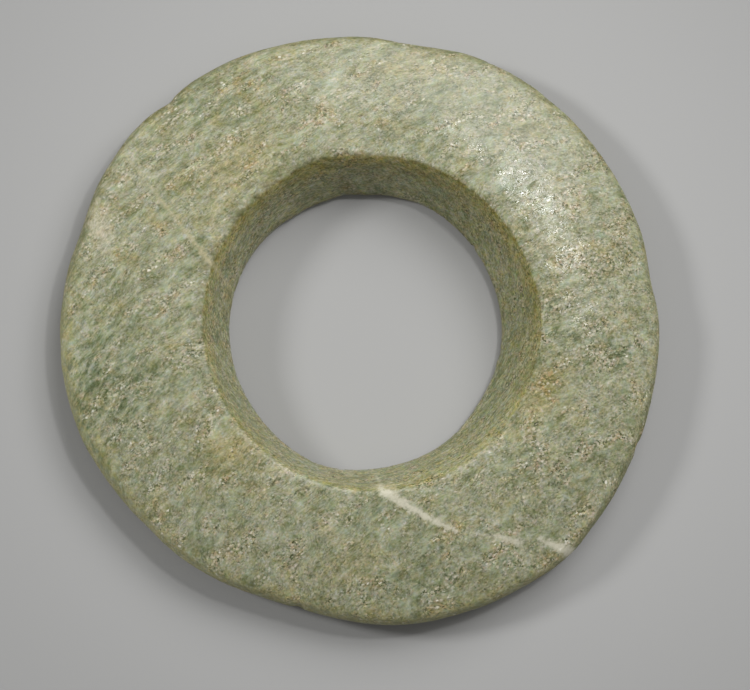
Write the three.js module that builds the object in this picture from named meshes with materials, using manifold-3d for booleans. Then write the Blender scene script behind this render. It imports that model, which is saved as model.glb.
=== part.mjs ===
// A ring ground from one piece of mottled green stone. It lies flat on its underside.
//
// The upper face is level beside the bore and falls away in a gentle crown to a blunt, rounded
// edge. The bore narrows downwards to a waist close above the underside. The outline is a
// circle that was ground by hand, so it has shallow flats, hollows and rises, and its edges
// carry a few old chips.
//
// Units are millimetres and +Z points up, along the bore. The origin is on the underside, at
// the middle of the outline's box. Directions round the ring are in degrees, counted from +X
// towards +Y.

import * as THREE from 'three';
import { mergeVertices } from 'three/addons/utils/BufferGeometryUtils.js';
import Module from 'manifold-3d';

// Driving dimensions
const outlineDiameter = 130.6;
const thickness = 14;
const waistDiameter = 59;
const waistHeight = 1.6;
const mouthDiameter = 73;
const footDiameter = 100;

// How the upper face falls to the edge, and the shape of the edge
const faceFall = 5.4;
const faceCrown = 1.9;
const edgeLift = 1.8;
const edgeInset = 1.3;
const edgeTurn = 65;
const underCrown = 1.6;

// Small roundings of the bore
const lipFlare = 0.9;
const mouthRound = 0.6;

// The bore was drilled a little off the middle of the outline, and leans a little
const waistOffset = new THREE.Vector2(0.95, -0.15);
const mouthLean = new THREE.Vector2(0.05, 0.5);

// Waves of the outline, the waist and the mouth: the direction, half of the width, both in
// degrees, and how far the edge stands out there. A negative value is a hollow.
const outlineWaves = [
  { name: 'right nick', at: 11, half: 9, out: -0.8 },
  { name: 'upper right rise', at: 52, half: 36, out: 0.6 },
  { name: 'top hollow', at: 80, half: 13, out: -1.2 },
  { name: 'top shoulder', at: 95, half: 20, out: -0.4 },
  { name: 'upper left rise', at: 138, half: 40, out: 0.9 },
  { name: 'upper left nick', at: 131, half: 6, out: -0.7 },
  { name: 'left nick', at: 161, half: 10, out: -0.7 },
  { name: 'left rise', at: 190, half: 30, out: 1.0 },
  { name: 'lower left flat', at: 226, half: 24, out: -1.2 },
  { name: 'bottom flat', at: 254, half: 28, out: -2.7 },
  { name: 'lower right rise', at: 309, half: 32, out: 1.0 },
  { name: 'lower right corner', at: 312, half: 12, out: 0.6 },
];
const waistWaves = [
  { name: 'upper right rise', at: 62, half: 40, out: 0.9 },
  { name: 'top rise', at: 99, half: 9, out: 0.7 },
  { name: 'bottom rise', at: 250, half: 36, out: 1.1 },
  { name: 'lower right hollow', at: 328, half: 34, out: -0.8 },
];
const mouthWaves = [
  { name: 'top spall', at: 108, half: 14, out: 0.7 },
  { name: 'right spall', at: 2, half: 22, out: 0.6 },
];

// Old chips, each an oval scoop: what it sits on, its direction, half of its length along the
// edge, half of its width and of its height, and how far its middle stands off the stone
const chips = [
  { name: 'bottom notch', on: 'edge', at: 257, long: 0.8, wide: 1.6, high: 4.5, off: 0.2 },
  { name: 'right step', on: 'edge', at: 337, long: 2.0, wide: 1.2, high: 3.5, off: 0.5 },
  { name: 'upper left bruise', on: 'edge', at: 131, long: 1.6, wide: 1.2, high: 3.4, off: 0.6 },
  { name: 'lower left bruise', on: 'edge', at: 229, long: 1.2, wide: 1.3, high: 3.6, off: 0.7 },
  { name: 'rim chip', on: 'mouth', at: 101, long: 1.5, wide: 1.1, high: 1.1, off: 0.4 },
  { name: 'bore pit', on: 'wall', at: 122, long: 0.8, wide: 0.9, high: 0.9, off: 0.3 },
  { name: 'waist chip', on: 'waist', at: 350, long: 1.3, wide: 1.0, high: 1.0, off: 0.4 },
];

// How finely the curved surfaces are stepped
const stations = 120;
const wallSteps = 4;
const faceSteps = 9;
const edgeSteps = 6;
const underSteps = 3;
const footSteps = 2;

const outlineCentre = new THREE.Vector2(0, 0);
const waistCentre = outlineCentre.clone().add(waistOffset);
const mouthCentre = waistCentre.clone().add(mouthLean);

// A smooth wave that is full at its own direction and dies out at its half width
function wave(at, { at: middle, half, out }) {
  const away = Math.abs(THREE.MathUtils.euclideanModulo(at - middle + 180, 360) - 180);
  return away < half ? (out * (1 + Math.cos((Math.PI * away) / half))) / 2 : 0;
}

function wavyRadius(diameter, waves, at) {
  return waves.reduce((radius, one) => radius + wave(at, one), diameter / 2);
}

function place(centre, radius, at, height) {
  const turn = THREE.MathUtils.degToRad(at);
  const x = centre.x + radius * Math.cos(turn);
  const y = centre.y + radius * Math.sin(turn);
  return new THREE.Vector3(x, y, height);
}

function mix(from, to, share) {
  return from.clone().lerp(to, share);
}

// The uneven radii in one direction
function radii(at) {
  return {
    edge: wavyRadius(outlineDiameter, outlineWaves, at),
    waist: wavyRadius(waistDiameter, waistWaves, at),
    mouth: wavyRadius(mouthDiameter, mouthWaves, at),
  };
}

// The landmarks of the section in one direction
function landmarks(at) {
  const { edge, waist, mouth } = radii(at);
  return {
    edge,
    lip: place(waistCentre, waist + lipFlare, at, 0),
    waist: place(waistCentre, waist, at, waistHeight),
    mouth: place(mouthCentre, mouth, at, thickness),
    foot: place(outlineCentre, footDiameter / 2, at, 0),
  };
}

// The bore's wall, from the waist to just under the mouth
function wallPoints({ waist, mouth }) {
  const run = 1 - mouthRound / waist.distanceTo(mouth);
  const points = [];
  for (let step = 0; step <= wallSteps; step += 1) {
    points.push(mix(waist, mouth, (run * step) / wallSteps));
  }
  return points;
}

// The upper face, from the mouth to the edge's upper arris. Its height falls by a power of
// the way outwards, so it is level beside the mouth and steepest at the edge.
function facePoints({ mouth, edge }, at) {
  const arris = place(outlineCentre, edge - edgeInset, at, thickness);
  const start = mouthRound / mouth.distanceTo(arris);
  const points = [];
  for (let step = 0; step <= faceSteps; step += 1) {
    const share = start + ((1 - start) * step) / faceSteps;
    const point = mix(mouth, arris, share);
    point.z = thickness - faceFall * share ** faceCrown;
    points.push(point);
  }
  return points;
}

// One point between the wall and the face rounds the mouth
function mouthPoint(wallEnd, { mouth }, faceStart) {
  return mix(mix(wallEnd, mouth, 0.5), mix(mouth, faceStart, 0.5), 0.5);
}

// The blunt edge is an arc between its upper and its lower arris, which the face and the
// underside already hold
function edgePoints({ edge }, at) {
  const turn = THREE.MathUtils.degToRad(edgeTurn);
  const top = thickness - faceFall;
  const middle = (top + edgeLift) / 2;
  const points = [];
  for (let step = 1; step < edgeSteps; step += 1) {
    const angle = turn * (1 - (2 * step) / edgeSteps);
    const inset = (edgeInset * (1 - Math.cos(angle))) / (1 - Math.cos(turn));
    const height = middle + ((top - middle) * Math.sin(angle)) / Math.sin(turn);
    points.push(place(outlineCentre, edge - inset, at, height));
  }
  return points;
}

// The underside: a low bevel from the edge's lower arris to the foot, then flat to the bore
function underPoints({ edge, foot, lip }, at) {
  const arris = place(outlineCentre, edge - edgeInset, at, 0);
  const points = [];
  for (let step = 0; step < underSteps; step += 1) {
    const share = step / underSteps;
    const point = mix(arris, foot, share);
    point.z = edgeLift * (1 - share) ** underCrown;
    points.push(point);
  }
  for (let step = 0; step <= footSteps; step += 1) {
    points.push(mix(foot, lip, step / footSteps));
  }
  return points;
}

// The whole section in one direction, as one closed loop of points
function sectionPoints(at) {
  const marks = landmarks(at);
  const wall = wallPoints(marks);
  const face = facePoints(marks, at);
  const rounded = mouthPoint(wall.at(-1), marks, face[0]);
  return [...wall, rounded, ...face, ...edgePoints(marks, at), ...underPoints(marks, at)];
}

// The stone: sections all the way round, joined to one closed skin
function stoneGeometry() {
  const sections = [];
  for (let station = 0; station < stations; station += 1) {
    sections.push(sectionPoints((360 * station) / stations));
  }
  const count = sections[0].length;
  const index = [];
  for (let station = 0; station < stations; station += 1) {
    const next = (station + 1) % stations;
    for (let point = 0; point < count; point += 1) {
      const after = (point + 1) % count;
      const a = station * count + point;
      const b = station * count + after;
      const c = next * count + after;
      const d = next * count + point;
      index.push(a, b, c, a, c, d);
    }
  }
  const geometry = new THREE.BufferGeometry().setFromPoints(sections.flat());
  geometry.setIndex(index);
  return geometry;
}

// Where the middle of a chip sits
function chipMiddle({ on, at, off }) {
  const { edge, waist, mouth } = radii(at);
  const edgeTop = thickness - faceFall;
  switch (on) {
    case 'edge':
      return place(outlineCentre, edge + off, at, (edgeTop * 2 + edgeLift) / 3);
    case 'mouth':
      return place(mouthCentre, mouth - off, at, thickness + off);
    case 'wall':
      return place(waistCentre, waist - off, at, waistHeight + off);
    default:
      return place(waistCentre, waist - off, at, waistHeight);
  }
}

// A scoop is a rough oval ball, with its length along the edge
function chipGeometry(chip) {
  const scoop = new THREE.IcosahedronGeometry(1, 1);
  scoop.scale(chip.wide, chip.long, chip.high);
  scoop.rotateZ(THREE.MathUtils.degToRad(chip.at));
  scoop.translate(...chipMiddle(chip).toArray());
  return scoop;
}

const wasm = await Module();
wasm.setup();

function solid(geometry) {
  geometry.deleteAttribute('normal');
  geometry.deleteAttribute('uv');
  const merged = mergeVertices(geometry);
  const vertProperties = merged.attributes.position.array;
  const triVerts = new Uint32Array(merged.index.array);
  return new wasm.Manifold(new wasm.Mesh({ numProp: 3, vertProperties, triVerts }));
}

function geometryOf(body) {
  const { vertProperties, triVerts } = body.getMesh();
  const geometry = new THREE.BufferGeometry();
  geometry.setAttribute('position', new THREE.BufferAttribute(vertProperties, 3));
  geometry.setIndex(new THREE.BufferAttribute(triVerts, 1));
  geometry.computeVertexNormals();
  return geometry;
}

let stone = solid(stoneGeometry());
for (const chip of chips) {
  stone = stone.subtract(solid(chipGeometry(chip)));
}
const ringGeometry = geometryOf(stone);

// The origin is put at the middle of the outline's box, on the underside
ringGeometry.computeBoundingBox();
const middle = ringGeometry.boundingBox.getCenter(new THREE.Vector3());

const greenStone = new THREE.MeshStandardMaterial({ color: 0x939378, roughness: 0.55, metalness: 0 });
const ring = new THREE.Mesh(ringGeometry, greenStone);
ring.name = 'jade_ring';
ring.position.set(-middle.x, -middle.y, 0);

const model = new THREE.Group();
model.add(ring);

export default model;
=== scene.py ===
"""Dresses a ring ground from one piece of mottled green stone, and lays it out in soft light.

The ring's skin is a net of sections that is drawn onto the frame's solid and then worn: ground
by hand, grained, pitted and nicked. Its stone is a foliated one, with lenses of calm green,
seams of pale mica, stains and two pale veins.
"""

import math

import bpy
import bmesh
from mathutils import Matrix, Vector


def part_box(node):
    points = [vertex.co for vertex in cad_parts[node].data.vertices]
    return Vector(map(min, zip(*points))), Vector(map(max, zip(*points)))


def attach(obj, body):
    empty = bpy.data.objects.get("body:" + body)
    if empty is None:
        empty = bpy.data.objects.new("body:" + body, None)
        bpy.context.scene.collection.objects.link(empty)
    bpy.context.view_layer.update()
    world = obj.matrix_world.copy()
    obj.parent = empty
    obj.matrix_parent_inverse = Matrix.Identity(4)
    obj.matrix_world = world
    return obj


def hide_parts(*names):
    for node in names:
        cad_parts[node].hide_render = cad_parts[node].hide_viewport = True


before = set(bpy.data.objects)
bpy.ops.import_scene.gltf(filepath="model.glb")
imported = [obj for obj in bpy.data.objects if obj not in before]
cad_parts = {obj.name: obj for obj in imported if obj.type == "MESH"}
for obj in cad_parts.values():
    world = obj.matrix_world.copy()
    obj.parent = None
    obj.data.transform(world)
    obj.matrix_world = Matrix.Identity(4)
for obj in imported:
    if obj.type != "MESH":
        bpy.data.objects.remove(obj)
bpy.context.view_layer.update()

bl_info = {
    "name": "Ground Stone Ring",
    "version": (1, 0, 0),
    "blender": (4, 5, 0),
    "location": "View3D > Sidebar > Stone Ring",
    "description": "Makes the skin and the stone of a ground ring, and the table and light it is seen in",
    "category": "Object",
}

NODE = "jade_ring"
BODY = "root"
SLOT = "green_stone"
MM = 0.001

RING_LOW, RING_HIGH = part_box(NODE)
RING_MIDDLE = (RING_LOW + RING_HIGH) / 2


def shown(red, green, blue):
    """A colour as a screen shows it, from 0 to 255, turned into the linear colour that light needs."""
    def linear(value):
        part = value / 255
        return part / 12.92 if part <= 0.04045 else ((part + 0.055) / 1.055) ** 2.4
    return linear(red), linear(green), linear(blue)


def length(name, description, default):
    return bpy.props.FloatProperty(
        name=name, description=description, default=default, unit="LENGTH", subtype="DISTANCE", precision=5)


def colour(name, description, default):
    return bpy.props.FloatVectorProperty(
        name=name, description=description, default=default, size=3, min=0, max=1, subtype="COLOR")


def share(name, description, default):
    return bpy.props.FloatProperty(
        name=name, description=description, default=default, min=0, max=1, subtype="FACTOR")


def angle(name, description, default):
    return bpy.props.FloatProperty(
        name=name, description=description, default=math.radians(default), unit="ROTATION", subtype="ANGLE")


def plain(name, description, default):
    return bpy.props.FloatProperty(name=name, description=description, default=default)


def count(name, description, default):
    return bpy.props.IntProperty(name=name, description=description, default=default, min=1)


class RingSkinSettings(bpy.types.PropertyGroup):
    """Sizes of the net and of the wear on the ring's skin."""

    stations: count("Stations", "Sections of the net round the ring", 740)
    wall_points: count("Wall Points", "Points of a section up the bore", 34)
    face_points: count("Face Points", "Points of a section across the upper face", 62)
    edge_points: count("Edge Points", "Points of a section down the blunt edge", 18)
    under_points: count("Underside Points", "Points of a section across the underside", 24)
    bore_radius: length("Bore Radius", "Radius of the bore low down, where it is narrowest", 30 * MM)
    mouth_radius: length("Mouth Radius", "Radius of the bore where it meets the upper face", 37 * MM)
    edge_radius: length("Edge Radius", "Radius of the outline", 64 * MM)
    edge_top: length("Edge Top", "Height of the upper arris of the blunt edge", 8.4 * MM)
    edge_foot: length("Edge Foot", "Height of the lower arris of the blunt edge", 1.9 * MM)
    smoothing: count("Smoothing", "Rounds of smoothing that take off the solid's facets", 3)
    grind_depth: length("Grinding Depth", "Depth of the low waves left by grinding", 0.5 * MM)
    grind_size: length("Grinding Size", "Width of the waves left by grinding", 11 * MM)
    grain_depth: length("Grain Depth", "Depth of the grain between hard and soft seams", 0.09 * MM)
    grain_long: length("Grain Length", "Length of the lenses in the grain", 5.5 * MM)
    grain_wide: length("Grain Width", "Width of the lenses in the grain", 1.5 * MM)
    pit_depth: length("Pit Depth", "Depth of the pits where grains fell out", 0.30 * MM)
    pit_size: length("Pit Size", "Spacing of the pits", 3.2 * MM)
    nick_depth: length("Nick Depth", "Depth of the nicks along the arrises", 0.40 * MM)
    nick_size: length("Nick Size", "Spacing of the nicks along the arrises", 2.6 * MM)
    seed: bpy.props.IntProperty(name="Seed", description="Changes all the wear together", default=7)


class RingStoneSettings(bpy.types.PropertyGroup):
    """Colours and lay of the stone."""

    grain_turn: angle("Grain Turn", "Direction of the grain on the upper face, from X", 33)
    grain_dip: angle("Grain Dip", "How far the seams lean from lying flat", 28)
    deep: colour("Deep Green", "The darkest grains", shown(72, 78, 50))
    dark: colour("Dark Green", "The dark seams", shown(112, 117, 84))
    middle: colour("Middle Green", "The main green of the stone", shown(148, 150, 121))
    pale: colour("Pale Green", "The pale lenses", shown(173, 175, 149))
    mica: colour("Mica", "The palest seams, of mica", shown(214, 206, 184))
    pink_grain: colour("Pink Grain", "The warm grains in the seams of mica", shown(170, 156, 129))
    # Painted highlight: the near-white of the brightest mica flakes stands for the light that they reflect
    painted_mica_glint: colour("Glint", "The brightest mica flakes", shown(240, 237, 222))
    vein: colour("White Vein", "The white vein", shown(203, 199, 178))
    tan_vein: colour("Tan Vein", "The thin tan vein", shown(188, 178, 142))
    rust: colour("Rust", "The strongest stains along the rim of the bore", shown(104, 92, 52))
    calm_tint: colour("Calm Tint", "What the smooth lenses are multiplied by", (0.91, 0.99, 0.98))
    pink_tint: colour("Pink Tint", "What the warm mica is multiplied by", (1.0, 0.88, 0.80))
    ochre_tint: colour("Ochre Tint", "What iron stains are multiplied by", (1.0, 0.86, 0.57))
    spot_tint: colour("Spot Tint", "What the dark green spots are multiplied by", (0.55, 0.64, 0.54))
    olive_tint: colour("Olive Tint", "What the wall and the edge are multiplied by", (0.97, 0.97, 0.78))
    rim_tint: colour("Rim Tint", "What the stains along the rims are multiplied by", (1.0, 0.89, 0.52))
    # Painted shade: how far the bore's wall is darkened, more so lower down the bore
    painted_bore_shade: share("Wall Shade", "How much darker the wall of the bore is", 0.16)
    roughness: share("Roughness", "Roughness of the worn polish", 0.22)


class RingStageSettings(bpy.types.PropertyGroup):
    """The table, the lights and the camera."""

    table: colour("Table", "Colour of the table top", (0.430, 0.429, 0.423))
    table_size: length("Table Size", "Width of the table top", 6.0)
    table_gap: length("Table Gap", "How far the table top lies under the ring", 0.05 * MM)
    tilt: angle("Tilt", "How far the camera leans from straight above", 9)
    bearing: angle("Bearing", "The side to which the camera leans, from X", 232)
    distance: length("Distance", "From the camera to the point that it looks at", 0.9)
    view_width: length("View Width", "Width of what the camera sees at the ring", 163.6 * MM)
    sensor: plain("Sensor", "Width of the camera's sensor in mm", 36)
    ambient: plain("Ambient", "Strength of the light from all round", 0.219)


# Nets of nodes

# One seed further moves the noise by this many lumps
SEED_STEP = (13.7, 7.3, 31.1)

# One half, as one value and as a vector. Noise swings round it.
HALF = 0.5
HALF_VECTOR = (0.5, 0.5, 0.5)

# Multiplying by this lays a place flat
FLAT = (1, 1, 0)

# Operations of a vector node that put out one value
MEASURES = ("DOT_PRODUCT", "LENGTH", "DISTANCE")

FLOAT = "NodeSocketFloat"
VECTOR = "NodeSocketVector"
INTEGER = "NodeSocketInt"
GEOMETRY = "NodeSocketGeometry"
MATERIAL = "NodeSocketMaterial"


class Net:
    """Adds nodes to one tree. A value given to an input is another node's output or a constant."""

    def __init__(self, tree):
        self.tree = tree

    def feed(self, socket, value):
        if isinstance(value, bpy.types.Node):
            value = value.outputs[0]
        if isinstance(value, bpy.types.NodeSocket):
            self.tree.links.new(value, socket)
        else:
            socket.default_value = value

    def add(self, kind, inputs=None, **settings):
        node = self.tree.nodes.new(kind)
        for name, value in settings.items():
            setattr(node, name, value)
        for name, value in (inputs or {}).items():
            self.feed(node.inputs[name], value)
        return node

    def attribute(self, name):
        """A value kept at the points of the mesh, in a shape's tree or in a material."""
        if self.tree.bl_idname == "GeometryNodeTree":
            node = self.add("GeometryNodeInputNamedAttribute", {"Name": name}, data_type="FLOAT")
            return node.outputs["Attribute"]
        return self.add("ShaderNodeAttribute", attribute_name=name).outputs["Fac"]

    def math(self, operation, first, second=0.0, third=0.0, clamp=False):
        inputs = {0: first, 1: second, 2: third}
        return self.add("ShaderNodeMath", inputs, operation=operation, use_clamp=clamp).outputs[0]

    def times(self, *values):
        product = values[0]
        for value in values[1:]:
            product = self.math("MULTIPLY", product, value)
        return product

    def total(self, *values):
        so_far = values[0]
        for value in values[1:]:
            so_far = self.math("ADD", so_far, value)
        return so_far

    def line(self, value, slope, start):
        """A start, with the value's slope added to it."""
        return self.math("MULTIPLY_ADD", value, slope, start)

    def rest(self, value):
        """What a share leaves of the whole."""
        return self.math("SUBTRACT", 1.0, value)

    def vector(self, operation, first, second=None, scale=None):
        inputs = {0: first}
        if second is not None:
            inputs[1] = second
        if scale is not None:
            inputs["Scale"] = scale
        node = self.add("ShaderNodeVectorMath", inputs, operation=operation)
        return node.outputs["Value" if operation in MEASURES else "Vector"]

    def turned(self, vector, turn, axis="Z_AXIS"):
        """The vector read in axes that are turned by an angle."""
        inputs = {"Vector": vector, "Angle": turn}
        return self.add("ShaderNodeVectorRotate", inputs, rotation_type=axis, invert=True).outputs[0]

    def joined(self, x, y, z):
        return self.add("ShaderNodeCombineXYZ", {0: x, 1: y, 2: z}).outputs[0]

    def split(self, vector):
        return self.add("ShaderNodeSeparateXYZ", {0: vector}).outputs

    def band(self, value, low, high, to_low=0.0, to_high=1.0):
        """A smooth step from one value to another as the value goes from low to high."""
        inputs = {0: value, 1: low, 2: high, 3: to_low, 4: to_high}
        return self.add("ShaderNodeMapRange", inputs, interpolation_type="SMOOTHSTEP").outputs[0]

    def blend(self, amount, first, second, way="MIX"):
        """A mix of two colours."""
        inputs = {0: amount, 6: first, 7: second}
        return self.add("ShaderNodeMix", inputs, data_type="RGBA", blend_type=way).outputs[2]

    def ramp(self, value, stops):
        """A colour that runs through the stops, each a place from 0 to 1 and a colour."""
        node = self.add("ShaderNodeValToRGB", {0: value})
        points = node.color_ramp.elements
        points[0].position, points[0].color = stops[0]
        points[1].position, points[1].color = stops[-1]
        for position, tone in stops[1:-1]:
            points.new(position).color = tone
        return node.outputs[0]

    def seeded(self, vector, seed):
        """The vector moved to a stretch of the noise that belongs to the seed."""
        if not isinstance(seed, bpy.types.NodeSocket):
            return self.vector("ADD", vector, tuple(seed * step for step in SEED_STEP))
        return self.vector("ADD", vector, self.vector("SCALE", SEED_STEP, scale=seed))

    def lumps(self, vector, size, seed, detail=2.0, roughness=0.5):
        """The node of a noise whose lumps are about one size across."""
        scale = self.math("DIVIDE", 1.0, size) if isinstance(size, bpy.types.NodeSocket) else 1 / size
        spread = self.vector("SCALE", vector, scale=scale)
        return self.add("ShaderNodeTexNoise", {
            "Vector": self.seeded(spread, seed), "Scale": 1.0, "Detail": detail, "Roughness": roughness})

    def noise(self, vector, **look):
        """Noise from 0 to 1. Its value is near one half on average."""
        return self.lumps(vector, **look).outputs["Fac"]

    def swing(self, vector, **look):
        """Noise that swings round zero."""
        return self.math("SUBTRACT", self.noise(vector, **look), HALF)

    def vector_swing(self, vector, **look):
        """Noise in three directions that swings round zero."""
        return self.vector("SUBTRACT", self.lumps(vector, **look).outputs["Color"], HALF_VECTOR)


def open_group(kind, name, inputs, outputs):
    """A node group with named inputs and outputs. Gives the group, its net, its inputs and its end."""
    group = bpy.data.node_groups.new(name, kind)
    for socket_name, socket_type, default in inputs:
        socket = group.interface.new_socket(socket_name, in_out="INPUT", socket_type=socket_type)
        if default is not None:
            socket.default_value = default
    for socket_name, socket_type in outputs:
        group.interface.new_socket(socket_name, in_out="OUTPUT", socket_type=socket_type)
    net = Net(group)
    start = net.add("NodeGroupInput").outputs
    end = net.add("NodeGroupOutput").inputs
    return group, net, start, end


def bedding(net, place, turn, dip):
    """A place read in the stone's own lay: X along the grain, Z across the seams."""
    return net.turned(net.turned(place, turn), dip, "X_AXIS")


# The skin: a net of sections drawn onto the solid, then worn

SKIN_LENGTHS = (
    "bore_radius", "mouth_radius", "edge_radius", "edge_top", "edge_foot", "grind_depth", "grind_size",
    "grain_depth", "grain_long", "grain_wide", "pit_depth", "pit_size", "nick_depth", "nick_size")
SKIN_COUNTS = ("stations", "wall_points", "face_points", "edge_points", "under_points", "smoothing", "seed")

# The rays that draw the net onto the solid start at this share of the ring's height
CORE_HEIGHT = 0.4
RAY_LENGTH = 1.0

# Points of the net that lie this near to each other are one
NET_JOINT = 0.02 * MM

# How the solid is rounded before the net is drawn onto it: faces that bend by less than the
# first angle and are this near to square are joined in pairs, then all are divided
FLAT_ENOUGH = math.radians(12)
SQUARE_ENOUGH = math.radians(60)
SOLID_JOINT = 0.001 * MM
DIVISIONS = 2
SMOOTHING_WEIGHT = 0.6

# The skin is evened out by this many rounds to find its arrises. They stand out from it by the
# first length where they begin and by the second where they are full.
ARRIS_REACH = 14
ARRIS_HEIGHTS = (0.03 * MM, 0.22 * MM)

# How far the bore's wall and the blunt edge face away from the bore, where each begins and
# where it is full
WALL_FACING = (-0.35, -0.75)
EDGE_FACING = (0.45, 0.8)

# The look of each noise of the wear, and the values of the noise where pits and nicks begin and
# where they are full. Wear begins a little above the foot and is full at the second height.
GRINDING_LOOK = {"detail": 1.0}
GRAIN_LOOK = {"detail": 2.0}
PIT_LOOK = {"detail": 3.0, "roughness": 0.6}
PIT_STRETCH = (0.6, 1, 1)
PIT_HEIGHTS = (0.63, 0.76)
NICK_LOOK = {"detail": 2.0, "roughness": 0.6}
NICK_HEIGHTS = (0.54, 0.72)
FOOT_HEIGHTS = (0.1 * MM, 1.0 * MM)


def label_of(settings, key):
    return settings.bl_rna.properties[key].name


def skin_inputs(skin, stone):
    """Each named input of the skin's tree, with its type and its value."""
    rows = [("Material", MATERIAL, None)]
    rows += [(label_of(skin, key), FLOAT, getattr(skin, key)) for key in SKIN_LENGTHS]
    rows += [(label_of(skin, key), INTEGER, getattr(skin, key)) for key in SKIN_COUNTS]
    rows.append(("Height", FLOAT, RING_HIGH.z))
    rows.append(("Centre", VECTOR, (RING_MIDDLE.x, RING_MIDDLE.y, 0)))
    rows.append(("Grain Turn", FLOAT, stone.grain_turn))
    rows.append(("Grain Dip", FLOAT, stone.grain_dip))
    return rows


def section_of_net(net, given, centre_radius, centre_height):
    """One section of the ring, as four straight sides with points along them."""
    def corner(radius, height):
        """A corner of the section. Its second axis points down once it is swept round."""
        across = net.math("SUBTRACT", radius, centre_radius)
        return net.joined(across, net.math("SUBTRACT", centre_height, height), 0.0)

    lip = corner(given["Bore Radius"], 0.0)
    mouth = corner(given["Mouth Radius"], given["Height"])
    top = corner(given["Edge Radius"], given["Edge Top"])
    foot = corner(given["Edge Radius"], given["Edge Foot"])
    sides = (
        ("Wall Points", lip, mouth), ("Face Points", mouth, top),
        ("Edge Points", top, foot), ("Underside Points", foot, lip))
    section = net.add("GeometryNodeJoinGeometry")
    for points, start, end in sides:
        inputs = {"Count": given[points], "Start Location": start, "Offset": end}
        side = net.add("GeometryNodeMeshLine", inputs, mode="END_POINTS")
        net.feed(section.inputs[0], net.add("GeometryNodeMeshToCurve", {0: side}))
    return section


def tube_of_net(net, given):
    """The section swept round the ring. Gives the tube, and the core that each point went round."""
    centre_radius = net.times(net.total(given["Mouth Radius"], given["Edge Radius"]), HALF)
    centre_height = net.times(given["Height"], CORE_HEIGHT)
    section = section_of_net(net, given, centre_radius, centre_height)
    circle = net.add("GeometryNodeCurvePrimitiveCircle", {
        "Resolution": given["Stations"], "Radius": centre_radius})
    lift = net.vector("ADD", given["Centre"], net.joined(0.0, 0.0, centre_height))
    core = net.add("GeometryNodeTransform", {"Geometry": circle.outputs["Curve"], "Translation": lift})
    kept = net.add("GeometryNodeCaptureAttribute", {"Geometry": core}, domain="POINT")
    kept.capture_items.new("VECTOR", "Core")
    net.feed(kept.inputs["Core"], net.add("GeometryNodeInputPosition"))
    tube = net.add("GeometryNodeCurveToMesh", {"Curve": kept.outputs["Geometry"], "Profile Curve": section})
    closed = net.add("GeometryNodeMergeByDistance", {"Geometry": tube, "Distance": NET_JOINT})
    return closed, kept.outputs["Core"]


def drawn_onto(net, tube, core, solid):
    """The tube with each point moved along its ray from the core to the solid's skin."""
    place = net.add("GeometryNodeInputPosition").outputs[0]
    rounded = net.add("GeometryNodeSubdivisionSurface", {"Mesh": solid, "Level": DIVISIONS})
    ray = net.add("GeometryNodeRaycast", {
        "Target Geometry": rounded, "Source Position": core,
        "Ray Direction": net.vector("SUBTRACT", place, core), "Ray Length": RAY_LENGTH})
    return net.add("GeometryNodeSetPosition", {
        "Geometry": tube, "Selection": ray.outputs["Is Hit"], "Position": ray.outputs["Hit Position"]})


def blurred(net, value, rounds, weight=1.0):
    inputs = {"Value": value, "Iterations": rounds, "Weight": weight}
    return net.add("GeometryNodeBlurAttribute", inputs, data_type="FLOAT_VECTOR")


def marked(net, skin, place, normal):
    """The skin with its arrises, the wall of its bore and its blunt edge marked at each point."""
    round_about = blurred(net, place, ARRIS_REACH)
    stands_out = net.vector("DOT_PRODUCT", net.vector("SUBTRACT", place, round_about), normal)
    outwards = net.vector("NORMALIZE", net.vector("MULTIPLY", place, FLAT))
    facing = net.vector("DOT_PRODUCT", normal, outwards)
    marks = {
        "worn_edge": net.band(stands_out, *ARRIS_HEIGHTS),
        "bore_wall": net.band(facing, *WALL_FACING),
        "blunt_edge": net.band(facing, *EDGE_FACING)}
    for name, value in marks.items():
        inputs = {"Geometry": skin, "Name": name, "Value": value}
        skin = net.add("GeometryNodeStoreNamedAttribute", inputs, data_type="FLOAT", domain="POINT")
    return skin


def wear_depth(net, given, place):
    """How deep the skin is worn: low waves and seams of grain, and the pits and nicks that fell out."""
    lay = bedding(net, place, given["Grain Turn"], given["Grain Dip"])
    seed = given["Seed"]
    ground = net.swing(place, size=given["Grinding Size"], seed=seed, **GRINDING_LOOK)
    waves = net.times(ground, given["Grinding Depth"])
    along = net.math("DIVIDE", given["Grain Width"], given["Grain Length"])
    drawn_out = net.vector("MULTIPLY", lay, net.joined(along, 1.0, 1.0))
    grain = net.swing(drawn_out, size=given["Grain Width"], seed=seed, **GRAIN_LOOK)
    seams = net.times(grain, given["Grain Depth"])
    stretched = net.vector("MULTIPLY", lay, PIT_STRETCH)
    pitted = net.noise(stretched, size=given["Pit Size"], seed=seed, **PIT_LOOK)
    pits = net.times(net.band(pitted, *PIT_HEIGHTS), given["Pit Depth"])
    nicked = net.noise(place, size=given["Nick Size"], seed=seed, **NICK_LOOK)
    nicks = net.times(net.band(nicked, *NICK_HEIGHTS), given["Nick Depth"], net.attribute("worn_edge"))
    fallen_out = net.total(pits, nicks)
    return net.total(waves, seams, fallen_out)


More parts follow.
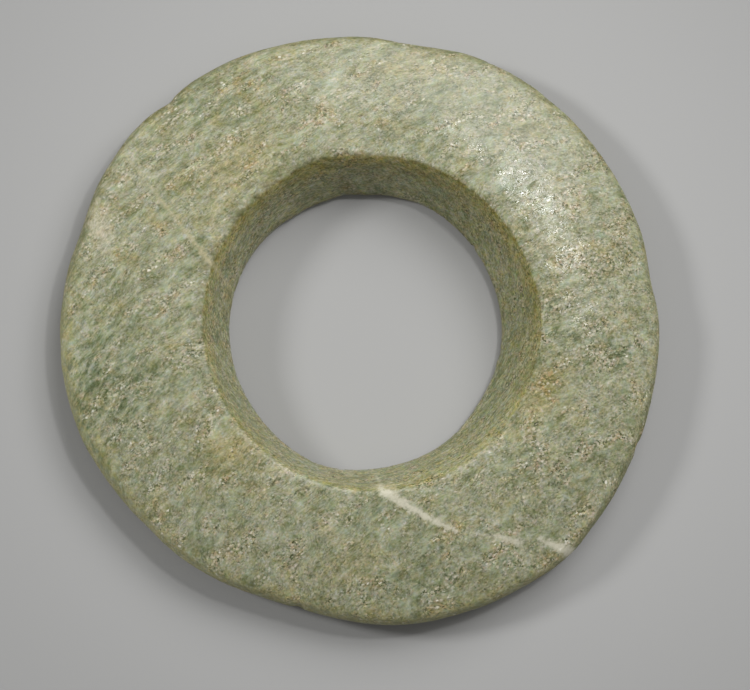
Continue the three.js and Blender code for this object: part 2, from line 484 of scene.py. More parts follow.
def skin_tree(skin, stone):
    """The Geometry Nodes tree that turns the solid into the worn ring."""
    rows = skin_inputs(skin, stone)
    group, net, start, end = open_group(
        "GeometryNodeTree", "Worn ring", [("Geometry", GEOMETRY, None)] + rows, [("Geometry", GEOMETRY)])
    group.is_modifier = True
    given = {name: start[name] for name, kind, value in rows}
    place = net.add("GeometryNodeInputPosition").outputs[0]
    normal = net.add("GeometryNodeInputNormal").outputs[0]

    tube, core = tube_of_net(net, given)
    drawn = drawn_onto(net, tube, core, start["Geometry"])
    even = blurred(net, place, given["Smoothing"], SMOOTHING_WEIGHT)
    smooth = net.add("GeometryNodeSetPosition", {"Geometry": drawn, "Position": even})
    skin_with_marks = marked(net, smooth, place, normal)

    above_foot = net.band(net.split(place)[2], *FOOT_HEIGHTS)
    inwards = net.vector("SCALE", normal, scale=net.times(wear_depth(net, given, place), above_foot, -1.0))
    worn = net.add("GeometryNodeSetPosition", {"Geometry": skin_with_marks, "Offset": inwards})
    shaded = net.add("GeometryNodeSetShadeSmooth", {"Geometry": worn})
    real = net.add("GeometryNodeRealizeInstances", {"Geometry": shaded})
    dressed = net.add("GeometryNodeSetMaterial", {"Geometry": real, "Material": given["Material"]})
    net.feed(end["Geometry"], dressed)
    return group


def solid_copy(name):
    """The frame's solid as one closed shell of mostly four-sided faces."""
    mesh = bpy.data.meshes.new(name)
    shell = bmesh.new()
    shell.from_mesh(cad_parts[NODE].data)
    bmesh.ops.remove_doubles(shell, verts=shell.verts, dist=SOLID_JOINT)
    bmesh.ops.join_triangles(
        shell, faces=shell.faces, angle_face_threshold=FLAT_ENOUGH, angle_shape_threshold=SQUARE_ENOUGH)
    shell.to_mesh(mesh)
    shell.free()
    return mesh


def made_plain(piece):
    """The piece's modifiers applied, so that it is a plain mesh."""
    graph = bpy.context.evaluated_depsgraph_get()
    mesh = bpy.data.meshes.new_from_object(
        piece.evaluated_get(graph), preserve_all_data_layers=True, depsgraph=graph)
    piece.modifiers.clear()
    piece.data = mesh
    mesh.name = piece.name


def ring_piece(skin, stone, material):
    piece = bpy.data.objects.new("ring_stone", solid_copy("ring_stone"))
    bpy.context.scene.collection.objects.link(piece)
    tree = skin_tree(skin, stone)
    modifier = piece.modifiers.new("Worn ring", "NODES")
    modifier.node_group = tree
    sockets = {item.name: item.identifier for item in tree.interface.items_tree if item.in_out == "INPUT"}
    for name, kind, value in skin_inputs(skin, stone):
        modifier[sockets[name]] = material if kind == MATERIAL else value
    made_plain(piece)
    return piece


# The stone's node groups

# How a lens is squeezed across the seams and, less, across the grain, against its width
SEAM_SQUEEZE = 1.8
LENS_SQUEEZE = 0.62
LENS_ROUGHNESS = 0.55

# A grain is a little flatter across the seams, and fills its cell from this share of its reach
GRAIN_FLATNESS = 1.3
GRAIN_CORE = 0.5
GRAIN_BORDER = {"size": 0.6, "seed": 2.0, "detail": 1.0}

# A patch fades between these distances from its middle, where 1 is its own size
PATCH_FADE = (1.3, 0.2)
PATCH_RAGGEDNESS = 3.0


def lay_group():
    """Place in millimetres, read in the stone's lay and bent a little."""
    group, net, start, end = open_group("ShaderNodeTree", "Stone lay", [
        ("Place", VECTOR, None), ("Turn", FLOAT, 0.0), ("Dip", FLOAT, 0.0),
        ("Bend", FLOAT, 2.0), ("Bend Size", FLOAT, 14.0), ("Seed", FLOAT, 0.0)], [("Lay", VECTOR)])
    wave = net.vector_swing(start["Place"], size=start["Bend Size"], seed=start["Seed"])
    bent = net.vector("ADD", start["Place"], net.vector("SCALE", wave, scale=start["Bend"]))
    net.feed(end["Lay"], bedding(net, bent, start["Turn"], start["Dip"]))
    return group


def seams_group():
    """Noise in lenses that are long along the grain and thin across the seams."""
    group, net, start, end = open_group("ShaderNodeTree", "Seams", [
        ("Lay", VECTOR, None), ("Long", FLOAT, 6.0), ("Wide", FLOAT, 2.0), ("Seed", FLOAT, 0.0),
        ("Detail", FLOAT, 2.0), ("Low", FLOAT, 0.0), ("High", FLOAT, 1.0)],
        [("Lumps", FLOAT), ("Mask", FLOAT)])
    squeeze = net.joined(
        net.math("DIVIDE", 1.0, start["Long"]), net.math("DIVIDE", LENS_SQUEEZE, start["Wide"]),
        net.math("DIVIDE", SEAM_SQUEEZE, start["Wide"]))
    lumps = net.add("ShaderNodeTexNoise", {
        "Vector": net.seeded(net.vector("MULTIPLY", start["Lay"], squeeze), start["Seed"]), "Scale": 1.0,
        "Detail": start["Detail"], "Roughness": LENS_ROUGHNESS}).outputs["Fac"]
    net.feed(end["Lumps"], net.math("SUBTRACT", lumps, HALF))
    net.feed(end["Mask"], net.band(lumps, start["Low"], start["High"]))
    return group


def grains_group():
    """Stone split into small grains, long along the lay.

    Mask holds a share of the grains. Shade is a value from 0 to 1 that each grain has of its own,
    and Facet the height of a grain whose face slopes its own way.
    """
    group, net, start, end = open_group("ShaderNodeTree", "Grains", [
        ("Lay", VECTOR, None), ("Size", FLOAT, 0.6), ("Stretch", FLOAT, 1.6), ("Share", FLOAT, 0.2),
        ("Fullness", FLOAT, 0.45), ("Ragged", FLOAT, 0.4), ("Seed", FLOAT, 0.0)],
        [("Mask", FLOAT), ("Shade", FLOAT), ("Facet", FLOAT)])
    squeeze = net.joined(net.math("DIVIDE", 1.0, start["Stretch"]), 1.0, GRAIN_FLATNESS)
    drawn_out = net.vector("MULTIPLY", start["Lay"], squeeze)
    spread = net.vector("SCALE", drawn_out, scale=net.math("DIVIDE", 1.0, start["Size"]))
    even = net.seeded(spread, start["Seed"])
    push = net.vector_swing(even, **GRAIN_BORDER)
    cells_in = net.vector("ADD", even, net.vector("SCALE", push, scale=start["Ragged"]))
    cells = net.add("ShaderNodeTexVoronoi", {"Vector": cells_in, "Scale": 1.0}).outputs
    chance = net.split(cells["Color"])
    holds = net.math("LESS_THAN", chance[0], start["Share"])
    near = net.band(cells["Distance"], start["Fullness"], net.times(start["Fullness"], GRAIN_CORE))
    slope = net.vector("SUBTRACT", cells["Color"], HALF_VECTOR)
    from_middle = net.vector("SUBTRACT", cells_in, cells["Position"])
    net.feed(end["Mask"], net.times(holds, near))
    net.feed(end["Shade"], chance[1])
    net.feed(end["Facet"], net.vector("DOT_PRODUCT", from_middle, slope))
    return group


def patch_group():
    """An oval blot. The border runs in and out with the ragged value, which is noise round zero."""
    group, net, start, end = open_group("ShaderNodeTree", "Patch", [
        ("Place", VECTOR, None), ("Middle", VECTOR, None), ("Turn", FLOAT, 0.0), ("Long", FLOAT, 8.0),
        ("Wide", FLOAT, 4.0), ("Ragged", FLOAT, 0.0)], [("Mask", FLOAT)])
    turned = net.turned(net.vector("SUBTRACT", start["Place"], start["Middle"]), start["Turn"])
    scaled = net.vector("MULTIPLY", turned, net.joined(
        net.math("DIVIDE", 1.0, start["Long"]), net.math("DIVIDE", 1.0, start["Wide"]), 0.0))
    reach = net.line(start["Ragged"], PATCH_RAGGEDNESS, net.vector("LENGTH", scaled))
    net.feed(end["Mask"], net.band(reach, *PATCH_FADE))
    return group


def vein_group():
    """A straight vein that stands upright in the stone, from one place to another, with ragged sides."""
    group, net, start, end = open_group("ShaderNodeTree", "Vein", [
        ("Place", VECTOR, None), ("Start", VECTOR, None), ("End", VECTOR, None), ("Start Width", FLOAT, 1.0),
        ("End Width", FLOAT, 1.0), ("Ragged", FLOAT, 0.0), ("Softness", FLOAT, 0.3)], [("Mask", FLOAT)])
    flat = net.vector("MULTIPLY", start["Place"], FLAT)
    from_start = net.vector("SUBTRACT", flat, start["Start"])
    whole = net.vector("SUBTRACT", start["End"], start["Start"])
    part = net.math("DIVIDE", net.vector("DOT_PRODUCT", from_start, whole),
                    net.vector("DOT_PRODUCT", whole, whole), clamp=True)
    away = net.vector("DISTANCE", from_start, net.vector("SCALE", whole, scale=part))
    wider = net.math("SUBTRACT", start["End Width"], start["Start Width"])
    half_width = net.times(net.line(wider, part, start["Start Width"]), HALF)
    inside = net.math("SUBTRACT", half_width, net.total(away, start["Ragged"]))
    net.feed(end["Mask"], net.band(inside, net.times(start["Softness"], -HALF), start["Softness"]))
    return group


# Where the veins and the patches lie

# Veins in the row's millimetres: name, from, to, the widths at both ends, strength
WHITE_VEIN = (
    ("wall", (3.2, -32.4), (3.9, -36.3), 0.9, 1.0, 0.45),
    ("first", (3.9, -36.4), (8.5, -39.1), 2.0, 2.2, 1.0),
    ("second", (8.5, -39.1), (13.1, -41.5), 2.0, 1.5, 1.0),
    ("third", (13.3, -41.9), (19.9, -44.7), 1.8, 1.0, 0.95),
    ("thread", (19.9, -44.7), (28.3, -45.6), 0.6, 0.6, 0.35),
    ("fourth", (28.3, -45.6), (33.9, -47.2), 1.2, 1.7, 0.8),
    ("fifth", (38.4, -46.2), (46.2, -49.2), 1.3, 2.8, 1.0),
)
TAN_VEIN = (
    ("outer", (-53.6, 39.4), (-46.6, 29.7), 0.8, 0.8, 0.5),
    ("middle", (-46.6, 29.7), (-36.4, 16.3), 0.8, 1.1, 0.6),
    ("rim", (-36.4, 16.3), (-33.4, 12.6), 1.2, 1.4, 0.9),
    ("wall", (-32.9, 12.1), (-28.0, 8.2), 0.9, 0.7, 0.6),
)

# Patches in the row's millimetres: name, middle, turn in degrees, half sizes, strength
OCHRE_PATCHES = (
    ("right", (38.8, -14.2), 60, 10, 5, 0.9),
    ("left", (-28.8, -28.0), 30, 9, 6, 0.8),
    ("upper left", (-27.0, 35.0), 30, 14, 6, 0.6),
    ("top", (8.4, 57.0), 10, 12, 4, 0.5),
    ("lower", (-2.0, -52.0), 30, 10, 6, 0.45),
)
MICA_PATCHES = (
    ("right", (50.7, 13.4), 35, 13, 7, 0.8),
    ("lower left", (-20.5, -33.7), 35, 10, 4, 0.7),
    ("lower right", (36.0, -32.0), 38, 13, 5, 0.6),
    ("rim right", (40.0, 3.0), 70, 10, 3, 0.6),
    ("left", (-56.5, 20.0), 102, 8, 3, 0.7),
    ("top right", (43.0, 25.0), 130, 12, 5, 0.5),
)
# Pale patches: the left one is pale mica along the left edge, made paler still as a painted highlight where
# the left light gleams on the edge
PALE_PATCHES = (
    ("left mica and painted highlight", (-57.0, 21.0), 102, 7, 3, 0.5),
    ("foot of the vein", (4.4, -35.6), 0, 3.5, 1.4, 0.45),
)
SPOT_PATCHES = (
    ("right", (56.3, -5.9), 70, 3.6, 3.0, 0.9),
    ("lower left", (-51.0, -15.0), 65, 15, 8, 0.8),
    ("left rim", (-59.5, -11.0), 80, 17, 4.5, 0.8),
    ("right inner", (43.5, -2.0), 80, 9, 4.5, 0.5),
    ("lower", (8.0, -55.0), 20, 18, 6, 0.55),
    ("lower right", (44.0, -34.0), 40, 12, 6, 0.45),
)

# The stone's layers

# How far the lay bends and how broad the bends are, in millimetres
LAY_BEND = {"bend": 2.2, "bend_size": 9.0, "seed": 1.0}

# Lenses along the grain: their length and width in millimetres, and the values of the noise
# between which their mask rises
CALM_LENSES = {"long": 7.0, "wide": 3.0, "seed": 5.0, "detail": 2.0, "low": 0.53, "high": 0.64}
MICA_LENSES = {"long": 9.0, "wide": 4.0, "seed": 8.0, "detail": 3.0, "low": 0.49, "high": 0.62}
MICA_CLOTS = {"long": 4.0, "wide": 2.2, "seed": 9.0, "detail": 2.0}
BROAD_LENSES = {"long": 5.5, "wide": 2.4, "seed": 4.0, "detail": 1.0}
THIN_SEAMS = {"long": 2.6, "wide": 1.1, "seed": 6.0, "detail": 1.0}
FINE_SEAMS = {"long": 0.75, "wide": 0.34, "seed": 7.0, "detail": 2.0}

# Grains: their size in millimetres, how far they are drawn out along the lay, the share of them
# that shows, how much of its cell each fills, and how ragged they are
TONE_GRAINS = {"size": 0.31, "stretch": 1.3, "ragged": 0.5, "seed": 10.0}
DARK_GRAINS = {"size": 0.62, "stretch": 1.5, "share": 0.14, "fullness": 0.6, "ragged": 0.7, "seed": 12.0}
MICA_FLAKES = {"size": 0.58, "stretch": 1.5, "share": 0.24, "fullness": 0.65, "ragged": 0.7, "seed": 13.0}
# Painted glints: the brightest mica flakes, whose near-white colour is a painted highlight
PAINTED_MICA_GLINTS = {"size": 0.6, "stretch": 1.3, "share": 0.10, "fullness": 0.6, "ragged": 0.8, "seed": 15.0}
FACETS = {"size": 0.45, "stretch": 1.2, "ragged": 0.3, "seed": 17.0}

# Plain noise, with the size of its lumps in millimetres
RAGGED_NOISE = {"size": 1.3, "seed": 19.0, "detail": 4.0, "roughness": 0.7}
CLUMP_NOISE = {"size": 1.6, "seed": 20.0, "detail": 3.0, "roughness": 0.6}
CLOUD_NOISE = {"size": 13.0, "seed": 3.0, "detail": 2.0}
SHADE_NOISE = {"size": 1.4, "seed": 18.0, "detail": 4.0, "roughness": 0.9}
PINK_NOISE = {"size": 2.4, "seed": 11.0, "detail": 3.0, "roughness": 0.6}
STAIN_NOISE = {"size": 7.0, "seed": 14.0, "detail": 4.0, "roughness": 0.6}
SWARM_NOISE = {"size": 1.8, "seed": 16.0, "detail": 2.0}

# The tones of the stone from dark to light, each with the place where it stands from 0 to 1
BODY_TONES = ((0.0, "deep"), (0.30, "dark"), (0.5, "middle"), (0.68, "pale"), (1.0, "mica"))
GRAIN_TONES = (
    (0.0, "deep"), (0.22, "dark"), (0.5, "middle"), (0.72, "pink_grain"), (0.90, "pale"), (1.0, "mica"))

# Steps: where a value starts to count and where it counts in full, and in some what it then
# runs from and to
MICA_CLOT_STEP = (-0.06, 0.10, 0.25, 1.0)
LOWER_RIGHT_STEP = (-45.0, 45.0, 0.85, 1.2)
CLUMP_STEP = (0.40, 0.60, 0.55, 1.25)
PINK_STEP = (0.48, 0.62)
STAIN_STEP = (0.50, 0.70)
STAIN_BLOTCH_STEP = (-0.25, 0.1, 0.5, 1.0)
STROKE_STEP = (0.05, -0.09, 0.3, 1.0)
GRIT_STEP = (-0.12, 0.10, 0.6, 1.0)
VEIN_GRIT_STEP = (0.6, 1.0, 0.82, 1.0)
RIM_BLOTCH_STEP = (-0.14, 0.12)
SWARM_STEP = (0.47, 0.62, 0.15, 1.0)

# Directions across the ring
TO_LOWER_RIGHT = (0.7, -0.7, 0)
TO_LOWER_LEFT = (-0.5, -0.86, 0)

# How far the calm lenses keep back the single grains, and how far they are tinted
CALM_REST = 0.75
CALM_TINTING = 0.55

# How the single grains, the pink tint, the pale flakes and the painted glints grow with the mica, each as a
# slope and a start
LIVELY_BY_MICA = (0.8, 0.55)
PINK_BY_MICA = (0.7, 0.15)
FLAKES_BY_MICA = (0.5, 0.06)
PAINTED_GLINTS_BY_MICA = (0.75, 0.06)

# How crisp the finest seams are: in calm stone, and what single grains and the wall add
CALM_CRISPNESS = 0.35
LIVELY_CRISPNESS = 0.6
WALL_CRISPNESS = 0.4

# How much each layer adds to the stone's light and dark, and how far single grains cover it
CLOUD_WEIGHT = 0.42
LENS_WEIGHT = 0.60
SEAM_WEIGHT = 0.56
FINE_WEIGHT = 1.4
MICA_WEIGHT = 0.05
SPECKLE_SHARE = 0.56

# How far a grain's own shade swings in red, green and blue, and how it grows on the wall, as a
# slope and a start
SHADE_SWING = (0.66, 0.0, 1.5)
SWING_BY_WALL = (0.6, 1.0)

# How strong the faint stains and the dark grains are
STAIN_STRENGTH = 0.55
DARK_GRAIN_STRENGTH = 0.5

# Heights above the table, distances from the ring's axis and places across the ring, all in
# millimetres, between which a band of the wall or the edge begins and is full
# The first step is painted shade on the bore's wall, a fifth of it near the mouth and all of it lower down
PAINTED_BORE_SHADE_STEP = (13.2, 9.5, 0.2, 1.0)
MOUTH_STAIN_STEP = (8.0, 12.4)
RIM_BAND_STEP = (9.8, 8.6)
MOUTH_STEP = (52.0, 48.0)
UPPER_STEP = (-22.0, 20.0)
LOWER_STEP = (5.0, 45.0)

# The wall and the edge: how olive they are, how the stains and the edge's darkening change with the blotches
# and towards one side of the ring, each as a slope and a start, and how much paler the edge is painted
# towards the lower left, as painted light thrown up from the table
WALL_OLIVE = 0.8
EDGE_OLIVE = 0.5
MOUTH_STAIN_BY_UPPER = (0.7, 0.3)
MOUTH_STAIN_BY_BLOTCH = (0.5, 0.5)
RUST_BY_UPPER = (0.3, 0.06)
RIM_STAIN_BY_LOWER = (0.4, 0.15)
EDGE_SHADE_BY_LOWER = (-0.2, 0.2)
PAINTED_EDGE_LIGHT = 0.32

# How far the sides of a vein run in and out, and over how many millimetres they fade
VEIN_RAGGEDNESS = 2.6
VEIN_SOFTNESS = 0.8

# The relief that is finer than the mesh
FACET_RELIEF = 0.45
FINE_RELIEF = 0.16
RELIEF_DEPTH = 0.12 * MM

# How much rougher than the worn polish the stone is in its soft seams, on the edge, in the
# stained band of the rim and at the arrises, and how much smoother in its glints
SEAM_ROUGHNESS = 0.4
EDGE_ROUGHNESS = 0.25
RIM_ROUGHNESS = 0.15
WORN_ROUGHNESS = 0.15
GLINT_SMOOTHNESS = 0.15

STONE_IOR = 1.55
STONE_SPECULAR = 0.3
BLACK = (0, 0, 0, 1)
WHITE = (1, 1, 1)


class StoneNet(Net):
    """The net of the stone's material, with the places and the masks that its layers share."""

    def __init__(self, tree, stone):
        super().__init__(tree)
        self.stone = stone
        self.groups = {
            "lay": lay_group(), "seams": seams_group(), "grains": grains_group(), "patch": patch_group(),
            "vein": vein_group()}
        self.place = self.vector("SCALE", self.add("ShaderNodeTexCoord").outputs["Object"], scale=1 / MM)
        self.lay = self.use(
            "lay", place=self.place, turn=stone.grain_turn, dip=stone.grain_dip, **LAY_BEND)[0]
        self.ragged = self.swing(self.place, **RAGGED_NOISE)
        self.wall = self.attribute("bore_wall")
        self.worn = self.attribute("worn_edge")
        self.edge = self.attribute("blunt_edge")
        self.calm = self.use("seams", lay=self.lay, **CALM_LENSES)["Mask"]
        self.mica = mica_mask(self)
        self.lively = lively_mask(self)
        self.seams = self.use("seams", lay=self.lay, **THIN_SEAMS)["Lumps"]
        self.fine = self.use("seams", lay=self.lay, **FINE_SEAMS)["Lumps"]
        self.grit = self.band(self.fine, *GRIT_STEP)

    def use(self, group, **inputs):
        """Places one of the groups, with its inputs given by name. Gives its outputs."""
        node = self.add("ShaderNodeGroup", node_tree=self.groups[group])
        for key, value in inputs.items():
            self.feed(node.inputs[key.replace("_", " ").title()], value)
        return node.outputs

    def patches(self, rows):
        """The mask of each patch in a list, at its own strength."""
        for name, middle, turn, long, wide, strength in rows:
            mask = self.use(
                "patch", place=self.place, middle=(*middle, 0), turn=math.radians(turn), long=float(long),
                wide=float(wide), ragged=self.ragged)[0]
            yield self.times(mask, strength)

    def tone(self, key):
        return (*getattr(self.stone, key), 1.0)

    def tones(self, value, ladder):
        return self.ramp(value, [(place, self.tone(key)) for place, key in ladder])

    def tinted(self, body, amount, key):
        return self.blend(amount, body, self.tone(key), "MULTIPLY")

    def along(self, direction, *step):
        """A step across the ring in a direction, between two places in millimetres."""
        return self.band(self.vector("DOT_PRODUCT", self.place, direction), *step)


def mica_mask(net):
    """Where the stone is full of mica: in seams, and in the patches in clots."""
    mica = net.use("seams", lay=net.lay, **MICA_LENSES)["Mask"]
    clots = net.band(net.use("seams", lay=net.lay, **MICA_CLOTS)["Lumps"], *MICA_CLOT_STEP)
    for patch in net.patches(MICA_PATCHES):
        mica = net.math("MAXIMUM", mica, net.times(patch, clots))
    return mica


def lively_mask(net):
    """How far the stone breaks up into single grains: least in the calm lenses, most in the mica."""
    unrest = net.rest(net.times(net.calm, CALM_REST))
    lower_right = net.along(TO_LOWER_RIGHT, *LOWER_RIGHT_STEP)
    clumps = net.band(net.noise(net.lay, **CLUMP_NOISE), *CLUMP_STEP)
    return net.times(unrest, net.line(net.mica, *LIVELY_BY_MICA), lower_right, clumps)


def mottled(net):
    """Light and dark, added up from broad clouds down to single grains."""
    clouds = net.swing(net.place, **CLOUD_NOISE)
    lenses = net.use("seams", lay=net.lay, **BROAD_LENSES)["Lumps"]
    crispness = net.total(
        net.times(net.lively, LIVELY_CRISPNESS), net.times(net.wall, WALL_CRISPNESS), CALM_CRISPNESS)
    light = net.total(
        HALF, net.times(clouds, CLOUD_WEIGHT), net.times(lenses, LENS_WEIGHT),
        net.times(net.seams, SEAM_WEIGHT), net.times(net.fine, FINE_WEIGHT, crispness),
        net.times(net.mica, MICA_WEIGHT))
    grains = net.use("grains", lay=net.lay, **TONE_GRAINS)["Shade"]
    return net.blend(
        net.times(net.lively, SPECKLE_SHARE), net.tones(light, BODY_TONES), net.tones(grains, GRAIN_TONES))


def shaded(net, body):
    """Warm and cold shades, from lumps down to single grains, with the calm lenses colder."""
    swing = net.vector_swing(net.lay, **SHADE_NOISE)
    swing = net.vector("SCALE", swing, scale=net.line(net.wall, *SWING_BY_WALL))
    shade = net.vector("ADD", WHITE, net.vector("MULTIPLY", swing, SHADE_SWING))
    body = net.vector("MULTIPLY", body, shade)
    body = net.tinted(body, net.times(net.calm, CALM_TINTING), "calm_tint")
    pink = net.band(net.noise(net.place, **PINK_NOISE), *PINK_STEP)
    return net.tinted(body, net.times(pink, net.line(net.mica, *PINK_BY_MICA)), "pink_tint")


def stained(net, body):
    """Iron stains, faint all over and strong in the ochre patches."""
    stain = net.times(net.band(net.noise(net.place, **STAIN_NOISE), *STAIN_STEP), STAIN_STRENGTH)
    for patch in net.patches(OCHRE_PATCHES):
        stain = net.math("MAXIMUM", stain, patch)
    blotches = net.band(net.ragged, *STAIN_BLOTCH_STEP)
    return net.tinted(body, net.times(stain, blotches), "ochre_tint")


def flecked(net, body):
    """Single dark and pale grains, the dark spots and the pale patches; the left one is partly a painted
    highlight.
    """
    dark_grains = net.use("grains", lay=net.lay, **DARK_GRAINS)["Mask"]
    body = net.blend(net.times(dark_grains, DARK_GRAIN_STRENGTH, net.lively), body, net.tone("deep"))
    flakes = net.use("grains", lay=net.lay, **MICA_FLAKES)["Mask"]
    body = net.blend(net.times(flakes, net.line(net.mica, *FLAKES_BY_MICA)), body, net.tone("mica"))
    strokes = net.band(net.seams, *STROKE_STEP)
    for patch in net.patches(SPOT_PATCHES):
        body = net.tinted(body, net.times(patch, strokes), "spot_tint")
    for patch in net.patches(PALE_PATCHES):
        body = net.blend(net.times(patch, net.grit), body, net.tone("mica"))
    return body


def rimmed(net, body, rim_band):
    """The olive wall and edge, with painted shade on the wall that deepens down the bore, the blunt edge
    painted paler towards the lower left as painted light and darker away from it, and the stains along the
    arrises.
    """
    height = net.split(net.place)[2]
    blotches = net.band(net.ragged, *RIM_BLOTCH_STEP)
    upper = net.band(net.split(net.place)[1], *UPPER_STEP)
    # Painted shade: the wall is darkened towards black, more so lower down the bore
    painted_bore_shade_mask = net.times(net.wall, net.band(height, *PAINTED_BORE_SHADE_STEP))
    body = net.blend(net.times(painted_bore_shade_mask, net.stone.painted_bore_shade), body, BLACK)
    olive = net.math("MAXIMUM", net.times(net.wall, WALL_OLIVE), net.times(net.edge, EDGE_OLIVE))
    body = net.tinted(body, olive, "olive_tint")

    under_mouth = net.times(
        net.wall, net.band(height, *MOUTH_STAIN_STEP), net.line(upper, *MOUTH_STAIN_BY_UPPER))
    body = net.tinted(body, net.times(under_mouth, net.line(blotches, *MOUTH_STAIN_BY_BLOTCH)), "rim_tint")
    at_mouth = net.band(net.vector("LENGTH", net.vector("MULTIPLY", net.place, FLAT)), *MOUTH_STEP)
    rusted = net.times(net.worn, at_mouth, net.line(upper, *RUST_BY_UPPER), blotches)
    body = net.blend(rusted, body, net.tone("rust"))

    lower = net.along(TO_LOWER_LEFT, *LOWER_STEP)
    # Painted light: the blunt edge is made paler towards the lower left, standing for light thrown up from
    # the table
    body = net.blend(net.times(net.edge, lower, PAINTED_EDGE_LIGHT), body, net.tone("pale"))
    body = net.blend(net.times(net.edge, net.line(lower, *EDGE_SHADE_BY_LOWER)), body, BLACK)
    rim_stain = net.times(rim_band, blotches, net.line(lower, *RIM_STAIN_BY_LOWER))
    return net.tinted(body, rim_stain, "rim_tint")


def veined(net, body):
    """The broken white vein and the thin tan one."""
    ragged_sides = net.times(net.ragged, VEIN_RAGGEDNESS)
    for rows, key in ((WHITE_VEIN, "vein"), (TAN_VEIN, "tan_vein")):
        for name, first, last, first_width, last_width, strength in rows:
            mask = net.use(
                "vein", place=net.place, start=(*first, 0), end=(*last, 0), start_width=first_width,
                end_width=last_width, ragged=ragged_sides, softness=VEIN_SOFTNESS)[0]
            amount = net.times(mask, strength, net.band(net.grit, *VEIN_GRIT_STEP))
            body = net.blend(amount, body, net.tone(key))
    return body


def painted_mica_glint_mask(net):
    """Painted glints: the brightest mica flakes, coloured near white to stand for the light that they
    reflect. They lie in swarms and mostly in the mica, and not on the wall.
    """
    painted_glint_grains = net.use("grains", lay=net.lay, **PAINTED_MICA_GLINTS)["Mask"]
    swarms = net.band(net.noise(net.lay, **SWARM_NOISE), *SWARM_STEP)
    return net.times(painted_glint_grains, net.line(net.mica, *PAINTED_GLINTS_BY_MICA), swarms, net.rest(net.wall))


def stone_material(stone):
    """The mottled green stone."""
    material = bpy.data.materials.new(SLOT)
    material.use_nodes = True
    material.node_tree.nodes.clear()
    net = StoneNet(material.node_tree, stone)
    rim_band = net.times(net.band(net.split(net.place)[2], *RIM_BAND_STEP), net.rest(net.wall))
    # Painted glints: mica flakes coloured near white as painted highlights
    painted_mica_glint = painted_mica_glint_mask(net)
    body = flecked(net, stained(net, shaded(net, mottled(net))))
    body = veined(net, rimmed(net, body, rim_band))

    facets = net.use("grains", lay=net.lay, **FACETS)["Facet"]
    relief = net.total(net.times(facets, FACET_RELIEF, net.lively), net.times(net.fine, FINE_RELIEF))
    rough = net.total(
        net.line(net.seams, SEAM_ROUGHNESS, stone.roughness), net.times(net.edge, EDGE_ROUGHNESS),
        net.times(rim_band, RIM_ROUGHNESS), net.times(net.worn, WORN_ROUGHNESS))
    surface = net.add("ShaderNodeBsdfPrincipled", {
        "IOR": STONE_IOR, "Specular IOR Level": STONE_SPECULAR,
        "Base Color": net.blend(painted_mica_glint, body, net.tone("painted_mica_glint")),
        "Roughness": net.math("SUBTRACT", rough, net.times(painted_mica_glint, GLINT_SMOOTHNESS), clamp=True),
        "Normal": net.add("ShaderNodeBump", {"Strength": 1.0, "Distance": RELIEF_DEPTH, "Height": relief})})
    net.add("ShaderNodeOutputMaterial", {"Surface": surface})
    return material


# The stage

# Lights: name, share of the table's light, direction and height in degrees, width in degrees as
# seen from the ring, and whether polished stone mirrors it
LIGHTS = (
    ("main", 0.154, 65, 42, 38, True),
    ("side", 0.058, 30, 41, 22, False),
    ("gleam", 0.062, 42, 60, 6, True),
    ("left", 0.103, 167, 34, 11, False),
)
LIGHT_DISTANCE = 1.5

# The table's colour holds painted light and shade: it is brightest round a place, and darker from the first
# to the last of two distances away from it, all in millimetres
PAINTED_LIGHT_CENTRE = (12, 10, 0)
TABLE_DISTANCES = (45.0, 140.0)
PAINTED_TABLE_SHADES = (0.98, 0.80)
TABLE_ROUGHNESS = 0.9

# What the camera looks at, and the nearest and farthest that it sees
LOOKED_AT = Vector((2.95, -3.61, 5.2)) * MM
NEAREST = 0.05
FARTHEST = 20


def lamp(name, lit, turn, height, width, mirrored, table):
    """A round soft light that gives a table of this lightness a share of its brightness."""
    data = bpy.data.lights.new(name, "AREA")
    data.shape = "DISK"
    data.size = 2 * LIGHT_DISTANCE * math.tan(math.radians(width / 2))
    data.energy = lit * math.pi ** 2 * LIGHT_DISTANCE ** 2 / (table * math.sin(math.radians(height)))
    light = bpy.data.objects.new(name, data)
    light.visible_glossy = mirrored
    direction = Vector((
        math.cos(math.radians(turn)) * math.cos(math.radians(height)),
        math.sin(math.radians(turn)) * math.cos(math.radians(height)),
        math.sin(math.radians(height))))
    light.location = direction * LIGHT_DISTANCE
    light.rotation_euler = direction.to_track_quat("Z", "Y").to_euler()
    bpy.context.scene.collection.objects.link(light)


def table_material(stage):
    """The plain pale table, its colour painted a little darker away from the light, as painted shade."""
    material = bpy.data.materials.new("pale table")
    material.use_nodes = True
    net = Net(material.node_tree)
    place = net.vector("SCALE", net.add("ShaderNodeTexCoord").outputs["Object"], scale=1 / MM)
    away = net.vector("DISTANCE", place, PAINTED_LIGHT_CENTRE)
    # Painted shade: the table's colour falls away from its brightest place
    shade = net.band(away, *TABLE_DISTANCES, *PAINTED_TABLE_SHADES)
    surface = material.node_tree.nodes["Principled BSDF"]
    net.feed(surface.inputs["Base Color"], net.vector("SCALE", tuple(stage.table), scale=shade))
    net.feed(surface.inputs["Roughness"], TABLE_ROUGHNESS)
    net.feed(surface.inputs["Specular IOR Level"], 0.0)
    return material


def table_top(stage):
    half = stage.table_size / 2
    height = RING_LOW.z - stage.table_gap
    mesh = bpy.data.meshes.new("table")
    corners = [(-half, -half, height), (half, -half, height), (half, half, height), (-half, half, height)]
    mesh.from_pydata(corners, [], [(0, 1, 2, 3)])
    mesh.materials.append(table_material(stage))
    table = bpy.data.objects.new("table", mesh)
    bpy.context.scene.collection.objects.link(table)


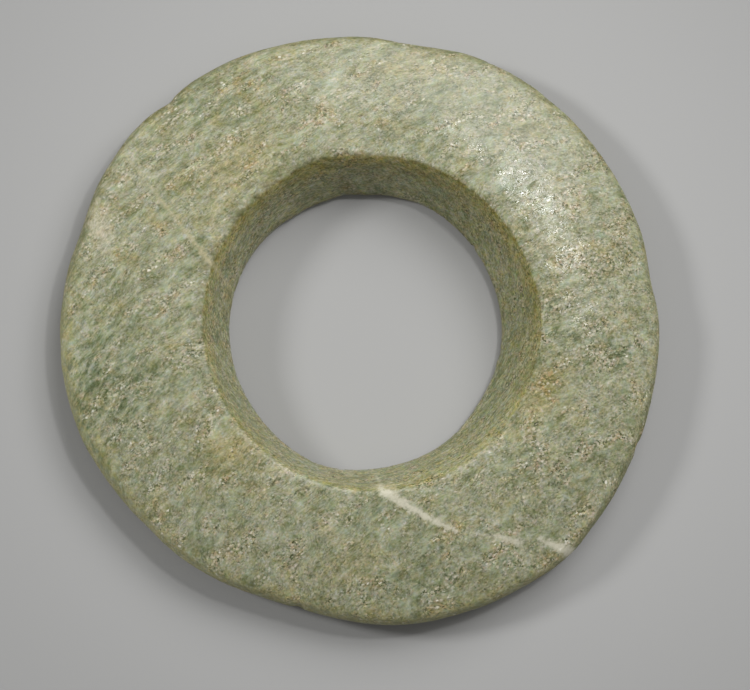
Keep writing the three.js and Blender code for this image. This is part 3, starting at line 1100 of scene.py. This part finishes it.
def surroundings(stage):
    """Even white light from all round."""
    world = bpy.data.worlds.new("soft surroundings")
    world.use_nodes = True
    sky = world.node_tree.nodes["Background"]
    sky.inputs["Color"].default_value = (1, 1, 1, 1)
    sky.inputs["Strength"].default_value = stage.ambient
    bpy.context.scene.world = world


def camera(stage):
    """A long lens above the ring, leaning a little to the lower left, with the page's Y upwards."""
    back = Vector((
        math.sin(stage.tilt) * math.cos(stage.bearing), math.sin(stage.tilt) * math.sin(stage.bearing),
        math.cos(stage.tilt)))
    right = Vector((0, 1, 0)).cross(back).normalized()
    up = back.cross(right)
    data = bpy.data.cameras.new("camera")
    data.sensor_width = stage.sensor
    data.lens = stage.sensor * stage.distance / stage.view_width
    data.clip_start = NEAREST
    data.clip_end = FARTHEST
    view = bpy.data.objects.new("camera", data)
    turn = Matrix((right, up, back)).transposed().to_4x4()
    view.matrix_world = Matrix.Translation(LOOKED_AT + back * stage.distance) @ turn
    bpy.context.scene.collection.objects.link(view)
    bpy.context.scene.camera = view


class RING_OT_stone(bpy.types.Operator):
    """Make the worn ring of green stone around the frame's solid"""

    bl_idname = "ring.stone"
    bl_label = "Stone Ring"

    def execute(self, context):
        scene = context.scene
        material = stone_material(scene.ring_stone)
        piece = ring_piece(scene.ring_skin, scene.ring_stone, material)
        if not piece.data.polygons:
            raise RuntimeError("the ring's skin has no faces")
        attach(piece, BODY)
        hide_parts(NODE)
        return {"FINISHED"}


class RING_OT_stage(bpy.types.Operator):
    """Lay out the table, the lights and the camera"""

    bl_idname = "ring.stage"
    bl_label = "Table, Lights and Camera"

    def execute(self, context):
        stage = context.scene.ring_stage
        table_top(stage)
        for row in LIGHTS:
            lamp(*row, stage.table[1])
        surroundings(stage)
        camera(stage)
        context.scene.view_settings.view_transform = "Standard"
        return {"FINISHED"}


class RING_PT_panel(bpy.types.Panel):
    """Lists the ring's pieces and its stage"""

    bl_idname = "RING_PT_panel"
    bl_label = "Stone Ring"
    bl_space_type = "VIEW_3D"
    bl_region_type = "UI"
    bl_category = "Stone Ring"

    def draw(self, context):
        scene = context.scene
        steps = (
            ("ring.stone", (scene.ring_skin, scene.ring_stone)),
            ("ring.stage", (scene.ring_stage,)))
        for operator, groups in steps:
            box = self.layout.box()
            box.operator(operator)
            for group in groups:
                for key in group.__annotations__:
                    box.prop(group, key)


CLASSES = (
    RingSkinSettings, RingStoneSettings, RingStageSettings, RING_OT_stone, RING_OT_stage, RING_PT_panel)


def register():
    for one in CLASSES:
        bpy.utils.register_class(one)
    bpy.types.Scene.ring_skin = bpy.props.PointerProperty(type=RingSkinSettings)
    bpy.types.Scene.ring_stone = bpy.props.PointerProperty(type=RingStoneSettings)
    bpy.types.Scene.ring_stage = bpy.props.PointerProperty(type=RingStageSettings)


def unregister():
    del bpy.types.Scene.ring_stage
    del bpy.types.Scene.ring_stone
    del bpy.types.Scene.ring_skin
    for one in reversed(CLASSES):
        bpy.utils.unregister_class(one)


def main():
    register()
    bpy.ops.ring.stone()
    bpy.ops.ring.stage()


if __name__ == "__main__":
    main()
